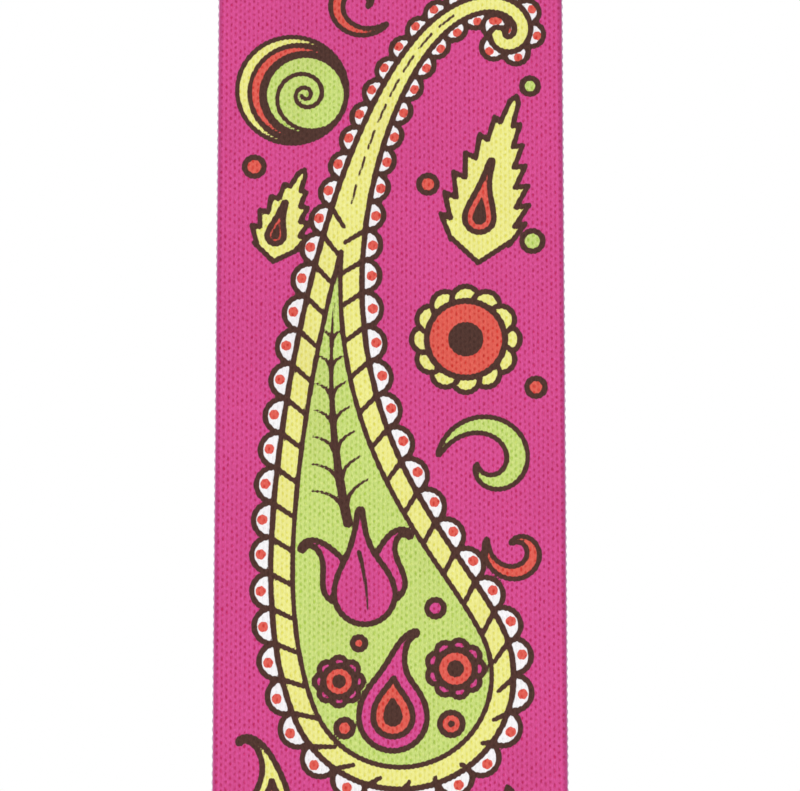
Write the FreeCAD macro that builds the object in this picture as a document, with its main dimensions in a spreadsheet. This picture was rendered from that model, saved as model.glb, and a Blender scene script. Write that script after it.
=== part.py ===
"""Guitar strap: 50 mm printed webbing hung double over a peg, with leather tabs, a ring and a slider.

Frame: +Z up, X across the webbing, Y from the front leg (negative) to the back leg (positive).
The origin is where the top of a round peg touches the underside of the fold.
Every "drop" is a distance down from that point. All sizes are in millimetres.
"""
import FreeCAD, Part
import math
import os

import Sketcher
from FreeCAD import Placement, Rotation, Vector

DRIVING_SIZES = {
    # webbing and the way it hangs
    "webbing_width": 50.0,
    "webbing_thickness": 1.4,
    "fold_radius": 22.0,
    "shoulder_drop": 28.5,
    "front_flex_drop": 262.0,
    "flex_gap": 2.0,
    "layer_gap": 0.4,
    # leather tabs
    "leather_thickness": 1.6,
    "leather_width": 52.0,
    "leather_radius": 0.4,
    "tab_top_drop": 430.0,
    "tab_length": 104.0,
    "tab_cheek": 44.0,
    "tab_taper": 24.0,
    "snout_radius": 17.0,
    "webbing_overlap": 36.0,
    "webbing_stub": 15.0,
    "ply_ramp": 7.0,
    "button_inset": 16.0,
    "button_hole_radius": 4.0,
    "slit_width": 2.0,
    "slit_length": 12.0,
    # rectangular ring and the leather strap that holds it
    "ring_drop": 398.0,
    "ring_pitch": 22.0,
    "ring_opening": 53.0,
    "ring_wire_radius": 2.0,
    "ring_corner_radius": 3.0,
    "running_gap": 0.05,
    "turn_straight": 30.0,
    "turn_slope": 20.0,
    "ring_strap_width": 46.0,
    "ring_strap_thickness": 1.5,
    "ring_strap_slope": 10.0,
    "ring_strap_tail": 34.0,
    # slider
    "slider_drop": 62.0,
    "slider_width": 63.0,
    "slider_height": 36.0,
    "slider_window_width": 53.0,
    "slider_bar_height": 5.0,
    "slider_plate": 2.6,
    "slider_seat_height": 9.0,
    "slider_corner": 3.0,
    "slider_radius": 0.8,
    "bar_radius": 1.6,
    "bar_slope": 12.0,
    "bar_flap": 32.0,
    # sewing thread
    "stitch_length": 2.5,
    "stitch_pitch": 3.4,
    "thread_width": 0.8,
    "thread_height": 0.45,
    "stitch_inset": 3.2,
}


class Size:
    """A length with its value and the sheet expression that drives it."""

    def __init__(self, value, text):
        self.value = value
        self.text = text

    def __add__(self, other):
        other = as_size(other)
        return Size(self.value + other.value, f"({self.text} + {other.text})")

    def __sub__(self, other):
        other = as_size(other)
        return Size(self.value - other.value, f"({self.text} - {other.text})")

    def __mul__(self, factor):
        return Size(self.value * factor, f"({self.text} * {factor})")

    def __truediv__(self, divisor):
        return Size(self.value / divisor, f"({self.text} / {divisor})")

    def __neg__(self):
        return Size(-self.value, f"(0 - {self.text})")


def as_size(number):
    """A plain number as a Size, and a Size as itself."""
    if isinstance(number, Size):
        return number
    return Size(float(number), repr(float(number)))


class Sizes:
    """The spreadsheet of driving dimensions, read back as Size attributes."""

    def __init__(self, document):
        self.sheet = document.addObject("Spreadsheet::Sheet", "Sizes")
        for row, (alias, number) in enumerate(DRIVING_SIZES.items(), start=1):
            self.sheet.set(f"A{row}", alias)
            self.sheet.set(f"B{row}", str(number))
            self.sheet.setAlias(f"B{row}", alias)
        document.recompute()
        for alias in DRIVING_SIZES:
            setattr(self, alias, Size(float(getattr(self.sheet, alias)), f"Sizes.{alias}"))


doc = FreeCAD.newDocument("GuitarStrap")
s = Sizes(doc)
NOTHING = as_size(0)
sub_parts = []


# ---------------------------------------------------------------- helpers


def register(part, label):
    """Names a finished sub-part and adds it to the list that is checked and written."""
    part.Label = label
    sub_parts.append(part)
    return part


def bind(part, **sizes):
    """Drives properties of a document object from the sheet."""
    for name, size in sizes.items():
        part.setExpression(name, as_size(size).text)


def place(part, x=NOTHING, y=NOTHING, z=NOTHING):
    """Drives the position of a document object from the sheet."""
    for letter, size in zip("xyz", (x, y, z)):
        part.setExpression(f"Placement.Base.{letter}", as_size(size).text)


def slab(label, width, y_low, y_high, top_drop, bottom_drop):
    """A straight vertical length of webbing between two drops."""
    box = doc.addObject("Part::Box", label)
    bind(box, Length=width, Width=y_high - y_low, Height=bottom_drop - top_drop)
    place(box, x=-width / 2, y=y_low, z=-bottom_drop)
    return register(box, label)


def new_sketch(body, plane, name):
    """A sketch on one of the body's own origin planes."""
    sketch = body.newObject("Sketcher::SketchObject", name)
    origin_planes = [f for f in body.Origin.OriginFeatures if f.Role == plane]
    sketch.AttachmentSupport = [(origin_planes[0], "")]
    sketch.MapMode = "FlatFace"
    return sketch


def pin_point(sketch, curve, end, point):
    """Holds one end of a sketch curve at sheet-driven coordinates."""
    for kind, size in zip(("DistanceX", "DistanceY"), point):
        size = as_size(size)
        if abs(size.value) < 1e-9:
            axis = -2 if kind == "DistanceX" else -1
            sketch.addConstraint(Sketcher.Constraint("PointOnObject", curve, end, axis))
            continue
        index = sketch.addConstraint(Sketcher.Constraint(kind, -1, 1, curve, end, size.value))
        sketch.setExpression(f"Constraints[{index}]", size.text)


def outline(sketch, steps):
    """Draws a closed outline. Each step is (x, y) for a line to that point, or
    (x, y, centre_x, centre_y, radius) for an arc of under half a turn to it."""
    corners = [(as_size(step[0]), as_size(step[1])) for step in steps]
    curves = []
    for index, step in enumerate(steps):
        start = Vector(corners[index - 1][0].value, corners[index - 1][1].value, 0)
        finish = Vector(corners[index][0].value, corners[index][1].value, 0)
        if len(step) == 2:
            curves.append((sketch.addGeometry(Part.LineSegment(start, finish)), 1, 2))
            continue
        centre = Vector(as_size(step[2]).value, as_size(step[3]).value, 0)
        radius = as_size(step[4])
        first = math.atan2(start.y - centre.y, start.x - centre.x)
        last = math.atan2(finish.y - centre.y, finish.x - centre.x)
        counter_clockwise = (last - first) % (2 * math.pi) < math.pi
        if not counter_clockwise:
            first, last = last, first
        circle = Part.Circle(centre, Vector(0, 0, 1), radius.value)
        arc = sketch.addGeometry(Part.ArcOfCircle(circle, first, last))
        curves.append((arc, 1, 2) if counter_clockwise else (arc, 2, 1))
        constraint = sketch.addConstraint(Sketcher.Constraint("Radius", arc, radius.value))
        sketch.setExpression(f"Constraints[{constraint}]", radius.text)
    for index, (curve, _, end) in enumerate(curves):
        following, start, _ = curves[(index + 1) % len(curves)]
        sketch.addConstraint(Sketcher.Constraint("Coincident", curve, end, following, start))
        pin_point(sketch, curve, end, corners[index])


def circle_sketch(sketch, x, y, radius):
    """Draws a circle driven by the sheet."""
    circle = Part.Circle(Vector(as_size(x).value, as_size(y).value, 0), Vector(0, 0, 1), radius.value)
    curve = sketch.addGeometry(circle)
    index = sketch.addConstraint(Sketcher.Constraint("Radius", curve, radius.value))
    sketch.setExpression(f"Constraints[{index}]", radius.text)
    pin_point(sketch, curve, 3, (x, y))


def side_profile_body(label, width, *outlines):
    """A body whose side view (Y, Z) is the given outlines, as wide as the given width."""
    body = doc.addObject("PartDesign::Body", label)
    sketch = new_sketch(body, "YZ_Plane", f"{label}_side")
    for steps in outlines:
        outline(sketch, steps)
    pad = body.newObject("PartDesign::Pad", f"{label}_pad")
    pad.Profile = sketch
    pad.SideType = "Symmetric"
    bind(pad, Length=width)
    doc.recompute()
    return register(body, label)


def cut_through(body, sketch, name):
    """Cuts a sketch right through the body both ways and checks that it removed something."""
    before = body.Shape.Volume
    pocket = body.newObject("PartDesign::Pocket", name)
    pocket.Profile = sketch
    pocket.Type = "ThroughAll"
    pocket.SideType = "Symmetric"
    doc.recompute()
    assert body.Shape.Volume < before - 1e-6, f"{name} removed nothing"
    return pocket


def round_edges(body, name, radius, chosen):
    """Rounds the edges of the body for which chosen(edge) is true."""
    base = body.Tip
    edges = [f"Edge{i}" for i, edge in enumerate(base.Shape.Edges, start=1) if chosen(edge)]
    fillet = body.newObject("PartDesign::Fillet", name)
    fillet.Base = (base, edges)
    bind(fillet, Radius=radius)
    doc.recompute()
    return fillet


def collect(label, solids):
    """One sub-part made of many small separate solids."""
    group = doc.addObject("Part::Feature", label)
    group.Shape = Part.makeCompound(solids)
    group.Placement = Placement()
    return register(group, label)


# ---------------------------------------------------------------- derived places

thick = s.webbing_thickness
half_thick = thick / 2
leg_y = s.fold_radius + half_thick                       # mid-plane of each leg, either side of Y = 0
front_y = -leg_y
half_gap = s.flex_gap / 2
tab_flex_drop = s.tab_top_drop - s.webbing_stub

return_outer_y = s.fold_radius - s.layer_gap             # the layer that comes back up from the ring
return_inner_y = return_outer_y - thick
bar_y = return_inner_y - s.bar_radius - s.running_gap
ring_y = s.fold_radius - s.running_gap - s.ring_wire_radius
lower_bar_drop = s.ring_drop + s.ring_pitch
turn_top_drop = s.ring_drop - s.turn_straight
ring_tab_top_drop = lower_bar_drop + s.ring_strap_slope + 0.5
ring_tab_length = s.tab_length - 0.5


# ---------------------------------------------------------------- webbing


def webbing_over_peg():
    """The fold that sits on the peg, with the short straight shoulder either side."""
    inner = s.fold_radius
    outer = s.fold_radius + thick
    end = -(s.shoulder_drop - half_gap)
    side_profile_body(
        "webbing_over_peg",
        s.webbing_width,
        [
            (-outer, end),
            (-outer, -inner),
            (0, thick, 0, -inner, outer),
            (outer, -inner, 0, -inner, outer),
            (outer, end),
            (inner, end),
            (inner, -inner),
            (0, 0, 0, -inner, inner),
            (-inner, -inner, 0, -inner, inner),
            (-inner, end),
        ],
    )


def webbing_legs():
    """The straight lengths of each leg, parted where the webbing bends."""
    front = (s.webbing_width, front_y - half_thick, front_y + half_thick)
    slab("webbing_front_upper", *front, s.shoulder_drop + half_gap, s.front_flex_drop - half_gap)
    slab("webbing_front_lower", *front, s.front_flex_drop + half_gap, tab_flex_drop - half_gap)
    slab("webbing_tab_end", *front, tab_flex_drop + half_gap, s.tab_top_drop + s.webbing_overlap)
    back = (s.webbing_width, s.fold_radius, s.fold_radius + thick)
    slab("webbing_back_run", *back, s.shoulder_drop + half_gap, turn_top_drop - s.layer_gap)


def webbing_ring_turn():
    """The webbing where it turns under the ring's upper bar and starts back up."""
    outer_radius = s.ring_wire_radius + s.running_gap + thick
    inner_radius = s.ring_wire_radius + s.running_gap
    bar = -s.ring_drop
    top = -turn_top_drop
    join = -(s.ring_drop - s.turn_slope)
    side_profile_body(
        "webbing_ring_turn",
        s.webbing_width,
        [
            (ring_y + outer_radius, top),
            (ring_y + outer_radius, bar),
            (ring_y, bar - outer_radius, ring_y, bar, outer_radius),
            (ring_y - outer_radius, bar, ring_y, bar, outer_radius),
            (return_inner_y, join),
            (return_inner_y, top),
            (return_outer_y, top),
            (return_outer_y, join),
            (ring_y - inner_radius, bar),
            (ring_y, bar - inner_radius, ring_y, bar, inner_radius),
            (ring_y + inner_radius, bar, ring_y, bar, inner_radius),
            (ring_y + inner_radius, top),
        ],
    )


def webbing_return():
    """The layer between the ring and the slider, which gets shorter as the slider comes down."""
    slab(
        "webbing_return",
        s.webbing_width,
        return_inner_y,
        return_outer_y,
        s.slider_drop + s.bar_flap + 2 + s.layer_gap,
        turn_top_drop,
    )


def webbing_bar_loop():
    """The end of the webbing, folded over the slider's bar and back on itself."""
    inner_radius = s.bar_radius + s.running_gap
    outer_radius = inner_radius + thick
    bar = -s.slider_drop
    join = bar - s.bar_slope
    flap_end = bar - s.bar_flap
    side_profile_body(
        "webbing_bar_loop",
        s.webbing_width,
        [
            (return_outer_y, flap_end - 2),
            (return_outer_y, bar),
            (bar_y, bar + outer_radius, bar_y, bar, outer_radius),
            (bar_y - outer_radius, bar, bar_y, bar, outer_radius),
            (return_inner_y - thick, join),
            (return_inner_y - thick, flap_end),
            (return_inner_y, flap_end),
            (return_inner_y, flap_end - 2),
        ],
        [
            (return_inner_y, bar),
            (bar_y, bar + inner_radius, bar_y, bar, inner_radius),
            (bar_y - inner_radius, bar, bar_y, bar, inner_radius),
            (return_inner_y, join),
        ],
    )


# ---------------------------------------------------------------- metal


def slider_frame():
    """A die-cast slider: two bars in front of the running webbing, joined by
    side rails that dip behind it to carry the centre bar."""
    front_in = s.fold_radius + thick + s.layer_gap
    front_out = front_in + s.slider_plate
    seat_out = bar_y + s.slider_plate / 2 + 0.4
    seat_in = bar_y - s.slider_plate / 2 - 0.4
    centre = -s.slider_drop
    end = s.slider_height / 2
    bar_edge = end - s.slider_bar_height
    seat = s.slider_seat_height / 2
    body = side_profile_body(
        "slider_frame",
        s.slider_width,
        [
            (front_out, centre + end),
            (front_in, centre + end),
            (front_in, centre + bar_edge),
            (seat_in, centre + seat),
            (seat_in, centre - seat),
            (front_in, centre - bar_edge),
            (front_in, centre - end),
            (front_out, centre - end),
            (front_out, centre - bar_edge),
            (seat_out, centre - seat),
            (seat_out, centre + seat),
            (front_out, centre + bar_edge),
        ],
    )
    window = new_sketch(body, "XZ_Plane", "slider_window")
    half_width = s.slider_window_width / 2
    half_height = bar_edge
    outline(
        window,
        [
            (half_width, centre + half_height),
            (-half_width, centre + half_height),
            (-half_width, centre - half_height),
            (half_width, centre - half_height),
        ],
    )
    cut_through(body, window, "slider_window_cut")
    bar_hole = new_sketch(body, "YZ_Plane", "slider_bar_hole")
    circle_sketch(bar_hole, bar_y, centre, s.bar_radius)
    cut_through(body, bar_hole, "slider_bar_hole_cut")
    outer_x = s.slider_width.value / 2
    outer_z = end.value

    def on_bar_edge(edge):
        box = edge.BoundBox
        straight_across = box.YLength < 1e-6 and box.ZLength < 1e-6
        return straight_across and abs(abs(box.ZMin - centre.value) - outer_z) < 1e-6

    def on_corner(edge):
        box = edge.BoundBox
        straight_through = box.XLength < 1e-6 and box.ZLength < 1e-6
        return straight_through and abs(abs(box.ZMin - centre.value) - outer_z) < 1e-6

    round_edges(body, "slider_corners", s.slider_corner, on_corner)
    round_edges(body, "slider_rounding", s.slider_radius, on_bar_edge)


def slider_bar():
    """The steel pin pressed across the slider's side rails."""
    bar = doc.addObject("Part::Cylinder", "slider_bar")
    bind(bar, Radius=s.bar_radius, Height=s.slider_width - 1)
    bar.Placement = Placement(Vector(0, 0, 0), Rotation(Vector(0, 1, 0), 90))
    place(bar, x=-(s.slider_width - 1) / 2, y=bar_y, z=-s.slider_drop)
    register(bar, "slider_bar")


def rectangular_ring():
    """A welded wire ring: the webbing turns round its upper bar, the leather strap round its lower."""
    body = doc.addObject("PartDesign::Body", "rectangular_ring")
    path = new_sketch(body, "XZ_Plane", "ring_path")
    side = s.ring_opening / 2 + s.ring_wire_radius
    corner = s.ring_corner_radius
    top = -s.ring_drop
    bottom = -lower_bar_drop
    outline(
        path,
        [
            (side - corner, top),
            (side, top - corner, side - corner, top - corner, corner),
            (side, bottom + corner),
            (side - corner, bottom, side - corner, bottom + corner, corner),
            (-(side - corner), bottom),
            (-side, bottom + corner, -(side - corner), bottom + corner, corner),
            (-side, top - corner),
            (-(side - corner), top, -(side - corner), top - corner, corner),
        ],
    )
    path.AttachmentOffset = Placement(Vector(0, 0, 0), Rotation())
    path.setExpression("AttachmentOffset.Base.z", (-ring_y).text)
    section = new_sketch(body, "YZ_Plane", "ring_section")
    circle_sketch(section, ring_y, top, s.ring_wire_radius)
    doc.recompute()
    pipe = body.newObject("PartDesign::AdditivePipe", "ring_wire")
    pipe.Profile = section
    pipe.Spine = path
    doc.recompute()
    register(body, "rectangular_ring")


# ---------------------------------------------------------------- leather


def ring_strap():
    """The leather strap that passes over the ring's lower bar and down between the tab's plies."""
    inner = s.ring_wire_radius + s.running_gap
    outer = inner + s.ring_strap_thickness
    bar = -lower_bar_drop
    join = bar - s.ring_strap_slope
    tail = join - s.ring_strap_tail
    layer = s.ring_strap_thickness
    side_profile_body(
        "ring_strap",
        s.ring_strap_width,
        [
            (ring_y + layer, tail),
            (ring_y + layer, join),
            (ring_y + outer, bar),
            (ring_y, bar + outer, ring_y, bar, outer),
            (ring_y - outer, bar, ring_y, bar, outer),
            (ring_y - layer, join),
            (ring_y - layer, tail),
        ],
        [
            (ring_y + inner, bar),
            (ring_y, bar + inner, ring_y, bar, inner),
            (ring_y - inner, bar, ring_y, bar, inner),
            (ring_y, join),
        ],
    )


def tab_outline_steps(top_drop, length, inset=0.0):
    """The outline of a leather tab in front view: square at the webbing, tapering to a round snout."""
    half = s.leather_width / 2 - inset
    snout = s.snout_radius - inset
    top = -(top_drop + inset)
    cheek = -(top_drop + s.tab_cheek)
    taper = cheek - s.tab_taper
    nose_centre = -(top_drop + length - s.snout_radius)
    return [
        (half, top),
        (half, cheek),
        (snout, taper),
        (snout, nose_centre),
        (0, nose_centre - snout, 0, nose_centre, snout),
        (-snout, nose_centre, 0, nose_centre, snout),
        (-snout, taper),
        (-half, cheek),
        (-half, top),
    ]


def leather_ply(label, mid_y, side, core, top_drop, length, step_drop):
    """One leather ply of a tab. side is +1 or -1, the way it faces; core is half the thickness of
    what it covers, down to step_drop, below which it steps in to the tab's mid-plane."""
    top = -top_drop
    bottom = -(top_drop + length)
    step = -step_drop
    ramp_end = step - s.ply_ramp
    leather = s.leather_thickness
    inner_top = mid_y + core * side
    outer_top = mid_y + (core + leather) * side
    outer_low = mid_y + leather * side
    body = side_profile_body(
        label,
        s.leather_width,
        [
            (inner_top, top),
            (outer_top, top),
            (outer_top, step),
            (outer_low, ramp_end),
            (outer_low, bottom),
            (mid_y, bottom),
            (mid_y, ramp_end),
            (inner_top, step),
        ],
    )
    waste = new_sketch(body, "XZ_Plane", f"{label}_outline")
    margin = 10
    wide = s.leather_width / 2 + margin
    outline(waste, [(wide, top + margin), (wide, bottom - margin), (-wide, bottom - margin), (-wide, top + margin)])
    outline(waste, tab_outline_steps(top_drop, length))
    cut_through(body, waste, f"{label}_outline_cut")
    hole = new_sketch(body, "XZ_Plane", f"{label}_hole")
    hole_z = bottom + s.button_inset
    circle_sketch(hole, NOTHING, hole_z, s.button_hole_radius)
    cut_through(body, hole, f"{label}_hole_cut")
    slit = new_sketch(body, "XZ_Plane", f"{label}_slit")
    half_slit = s.slit_width / 2
    slit_top = hole_z + s.slit_length
    outline(slit, [(half_slit, hole_z), (half_slit, slit_top), (-half_slit, slit_top), (-half_slit, hole_z)])
    cut_through(body, slit, f"{label}_slit_cut")
    face_low = outer_low.value

    def on_lower_rim(edge):
        box = edge.BoundBox
        flat = abs(box.YMin - face_low) < 1e-6 and abs(box.YMax - face_low) < 1e-6
        near_hole = abs(box.Center.x) < s.button_hole_radius.value + 1
        level = box.ZLength < 1e-6
        return flat and not near_hole and not level

    round_edges(body, f"{label}_rounding", s.leather_radius, on_lower_rim)
    return body


# ---------------------------------------------------------------- thread


def points_along(corners, pitch, closed):
    """Evenly spaced points along the straight runs between corners, with the direction at each."""
    stops = corners + corners[:1] if closed else corners
    runs = [finish - start for start, finish in zip(stops, stops[1:])]
    total = sum(run.Length for run in runs)
    count = round(total / pitch)
    found = []
    walked = 0.0
    for start, run in zip(stops, runs):
        for index in range(count):
            along = total * (index + 0.5) / count - walked
            if 0 <= along < run.Length:
                found.append((start + run * (along / run.Length), run))
        walked += run.Length
    return found


def stitch_rows(rows, surface_y, side):
    """Thread stitches lying on a face. rows holds (corners, closed) in front view (x, 0, z);
    surface_y(z) is where the face is, and side is the way it faces."""
    length = s.stitch_length.value
    width = s.thread_width.value
    height = s.thread_height.value
    solids = []
    for corners, closed in rows:
        for centre, run in points_along(corners, s.stitch_pitch.value, closed):
            stitch = Part.makeBox(length, height, width, Vector(-length / 2, -height / 2, -width / 2))
            angle = math.degrees(math.atan2(-run.z, run.x))
            stitch.Placement = Placement(
                Vector(centre.x, surface_y(centre.z) + side * height / 2, centre.z),
                Rotation(Vector(0, 1, 0), angle),
            )
            solids.append(stitch)
    return solids


def rounded_nose(corners_of_steps, segments=10):
    """The corners of a tab outline as plain points, with the snout's half circle filled in."""
    points = []
    for step in corners_of_steps:
        x, z = as_size(step[0]).value, as_size(step[1]).value
        if len(step) == 2:
            points.append(Vector(x, 0, z))
            continue
        centre_x, centre_z, radius = (as_size(value).value for value in step[2:])
        start = math.atan2(points[-1].z - centre_z, points[-1].x - centre_x)
        turn = -math.pi / 2
        for index in range(1, segments + 1):
            angle = start + turn * index / segments
            points.append(Vector(centre_x + radius * math.cos(angle), 0, centre_z + radius * math.sin(angle)))
    return points


def box_with_cross(half_width, top, bottom):
    """The rows of a box stitch: a rectangle and its two diagonals."""
    upper_left = Vector(-half_width, 0, top)
    upper_right = Vector(half_width, 0, top)
    lower_left = Vector(-half_width, 0, bottom)
    lower_right = Vector(half_width, 0, bottom)
    box = [upper_left, upper_right, lower_right, lower_left]
    return [(box, True), ([upper_left, lower_right], False), ([upper_right, lower_left], False)]


def tab_stitching(prefix, mid_y, core, top_drop, length, step_drop):
    """The edge row round a tab and the box stitch that holds what lies between its plies."""
    leather = s.leather_thickness.value
    high = core.value + leather
    step = -step_drop.value
    ramp = s.ply_ramp.value

    def surface(side):
        def at(z):
            sunk = min(1.0, max(0.0, (step - z) / ramp))
            return mid_y.value + side * (high - sunk * core.value)

        return at

    inset = s.stitch_inset.value
    edge_row = [(rounded_nose(tab_outline_steps(top_drop, length, inset)), True)]
    box_top = -(top_drop.value + 2 * inset)
    box_rows = box_with_cross(s.leather_width.value / 2 - 2 * inset, box_top, step + 2.5)
    edge_solids = []
    box_solids = []
    for side in (-1, 1):
        edge_solids += stitch_rows(edge_row, surface(side), side)
        box_solids += stitch_rows(box_rows, surface(side), side)
    collect(f"{prefix}_edge_stitching", edge_solids)
    collect(f"{prefix}_box_stitching", box_solids)


def bar_loop_stitching():
    """The rows that close the webbing's loop round the slider's bar, on the flap's face."""
    face = (return_inner_y - thick).value
    half = s.webbing_width.value / 2 - 4
    top = -(s.slider_drop + s.bar_slope + 3).value
    bottom = -(s.slider_drop + s.bar_flap - 3).value
    rows = box_with_cross(half, top, bottom)
    collect("bar_loop_stitching", stitch_rows(rows, lambda z: face, -1))


def plain_tab():
    """The tab sewn straight to the end of the webbing, at the foot of the front leg."""
    step_drop = s.tab_top_drop + s.webbing_overlap + 1
    sizes = (half_thick, s.tab_top_drop, s.tab_length, step_drop)
    leather_ply("plain_tab_face", front_y, -1, *sizes)
    leather_ply("plain_tab_lining", front_y, 1, *sizes)
    tab_stitching("plain_tab", front_y, *sizes)


def ring_tab():
    """The tab that hangs from the ring, at the foot of the back leg."""
    step_drop = lower_bar_drop + s.ring_strap_slope + s.ring_strap_tail + 1
    sizes = (s.ring_strap_thickness, ring_tab_top_drop, ring_tab_length, step_drop)
    leather_ply("ring_tab_face", ring_y, 1, *sizes)
    leather_ply("ring_tab_lining", ring_y, -1, *sizes)
    tab_stitching("ring_tab", ring_y, *sizes)


def main():
    webbing_over_peg()
    webbing_legs()
    webbing_ring_turn()
    webbing_return()
    webbing_bar_loop()
    bar_loop_stitching()
    slider_frame()
    slider_bar()
    rectangular_ring()
    ring_strap()
    plain_tab()
    ring_tab()
    doc.recompute()
    for item in doc.Objects:
        failed = {"Invalid", "Error"} & set(item.State)
        assert not failed, f"{item.Label} did not compute: {item.State}"
    os.makedirs("parts", exist_ok=True)
    for part in sub_parts:
        shape = part.Shape
        assert not shape.isNull(), f"{part.Label} has no shape"
        assert shape.isValid(), f"{part.Label} is not valid"
        assert shape.Solids, f"{part.Label} has no solid"
        shape.exportStep(f"parts/{part.Label}.step")
        print(f"{part.Label}: {len(shape.Solids)} solids, {shape.Volume:.1f} mm3")


main()
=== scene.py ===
"""Looks for a printed guitar strap that hangs double over a peg.

The webbing is one route (down the front leg, over the peg, down the back leg, round the ring and
back up to the slider) cut into mesh pieces, each tied to one body or fixed where it lies. The print
is drawn from signed distances and stored on the mesh; the weave is worked out in the material.
"""

import logging
import math
from dataclasses import dataclass, replace
from enum import Enum

import bpy
import numpy as np
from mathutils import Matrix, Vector

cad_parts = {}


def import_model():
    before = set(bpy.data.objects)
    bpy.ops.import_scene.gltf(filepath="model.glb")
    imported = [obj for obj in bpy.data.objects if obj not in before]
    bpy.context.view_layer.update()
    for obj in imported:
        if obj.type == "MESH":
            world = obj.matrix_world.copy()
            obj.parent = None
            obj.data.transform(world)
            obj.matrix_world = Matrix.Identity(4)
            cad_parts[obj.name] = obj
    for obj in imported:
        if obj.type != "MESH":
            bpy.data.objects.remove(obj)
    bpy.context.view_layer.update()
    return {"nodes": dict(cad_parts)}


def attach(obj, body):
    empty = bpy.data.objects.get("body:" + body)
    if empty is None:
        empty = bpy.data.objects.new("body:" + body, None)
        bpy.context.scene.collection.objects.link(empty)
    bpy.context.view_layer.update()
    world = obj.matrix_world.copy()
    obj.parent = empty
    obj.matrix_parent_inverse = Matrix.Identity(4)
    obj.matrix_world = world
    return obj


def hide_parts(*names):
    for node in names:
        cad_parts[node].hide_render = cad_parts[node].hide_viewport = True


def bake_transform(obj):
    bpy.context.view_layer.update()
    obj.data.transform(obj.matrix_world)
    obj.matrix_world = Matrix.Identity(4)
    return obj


log = logging.getLogger("guitar_strap")

Array = np.ndarray

Colour = tuple[float, float, float, float]
Tree = bpy.types.NodeTree
Node = bpy.types.Node
Socket = bpy.types.NodeSocket
Material = bpy.types.Material
Thing = bpy.types.Object

MM = 0.001
FAR = 9.0  # the signed distance, in millimetres, that stands for a long way off
LINE_REACH = 3.5  # how far outside a drawn line its distance is still worked out
OUTLINE_REACH = 2.0  # the same for a straight-sided outline
BLOCK = 4_000_000  # how many distances are worked out at once
STEP = 0.12  # the spacing of the discs that make up a drawn line
ARC_POINTS = 90
STRAP_UV = "strap"


# ------------------------------------------------------------------ colours


def linear(red: int, green: int, blue: int) -> Colour:
    """Turns an 8-bit display colour into the linear colour that the materials use.

    Args:
        red: Display red, 0 to 255.
        green: Display green, 0 to 255.
        blue: Display blue, 0 to 255.

    Returns:
        The linear colour with an alpha of 1.
    """
    channels = [(value / 255 + 0.055) / 1.055 for value in (red, green, blue)]
    return (channels[0] ** 2.4, channels[1] ** 2.4, channels[2] ** 2.4, 1.0)


class Dye(Enum):
    """The print's colours."""

    GROUND = linear(217, 73, 142)
    LIME = linear(202, 224, 122)
    LEMON = linear(244, 240, 140)
    ORANGE = linear(230, 92, 79)
    WHITE = linear(254, 251, 252)
    INK = linear(76, 45, 36)
    REVERSE = linear(240, 222, 231)


# ------------------------------------------------------------------ flat shapes in millimetres


def beside(*columns: Array) -> Array:
    """Sets arrays of one shape side by side, along a new last axis."""
    return np.stack(columns, axis=-1)


def left_of(ways: Array) -> Array:
    """Turns directions a quarter to their left, one row each."""
    return beside(-ways[:, 1], ways[:, 0])


def lookup(wanted: Array, along: Array, path: Array) -> Array:
    """Reads a path's columns at the wanted distances along it."""
    return beside(*(np.interp(wanted, along, column) for column in path.T))


def lengths_along(path: Array) -> Array:
    """How far along a path each of its points is, measured on its first two columns."""
    steps = np.hypot(*np.diff(path[:, :2], axis=0).T)
    return np.concatenate([[0.0], np.cumsum(steps)])


def evenly(path: Array, spacing: float) -> Array:
    """Places points along a path at an even spacing, measured on its first two columns.

    Args:
        path: The path's points, one row each.
        spacing: The distance between points.

    Returns:
        The evenly spaced points, with all of the path's columns.
    """
    along = lengths_along(path)
    wanted = np.linspace(0, along[-1], max(2, int(along[-1] / spacing) + 1))
    return lookup(wanted, along, path)


def nearby(u: Array, v: Array, points: Array, reach: float) -> Array:
    """Marks the places inside the box round some points, grown by reach."""
    low, high = points.min(axis=0) - reach, points.max(axis=0) + reach
    return (u > low[0]) & (u < high[0]) & (v > low[1]) & (v < high[1])


def distance_to_discs(path: Array, u: Array, v: Array) -> Array:
    """The signed distance to a row of discs: the least distance to a centre, less its radius.

    Args:
        path: The discs' centres and radii, one row each.
        u: Places across the strap.
        v: Places along the strap.

    Returns:
        The signed distance at each place, negative inside a disc and FAR a long way off.
    """
    result = np.full(u.shape, FAR, np.float32)
    near = np.flatnonzero(nearby(u, v, path[:, :2], path[:, 2].max() + LINE_REACH))
    block = max(1, BLOCK // len(path))
    for first in range(0, len(near), block):
        chosen = near[first : first + block]
        gap = np.hypot(u[chosen, None] - path[:, 0], v[chosen, None] - path[:, 1])
        result[chosen] = (gap - path[:, 2]).min(axis=1)
    return result


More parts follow.
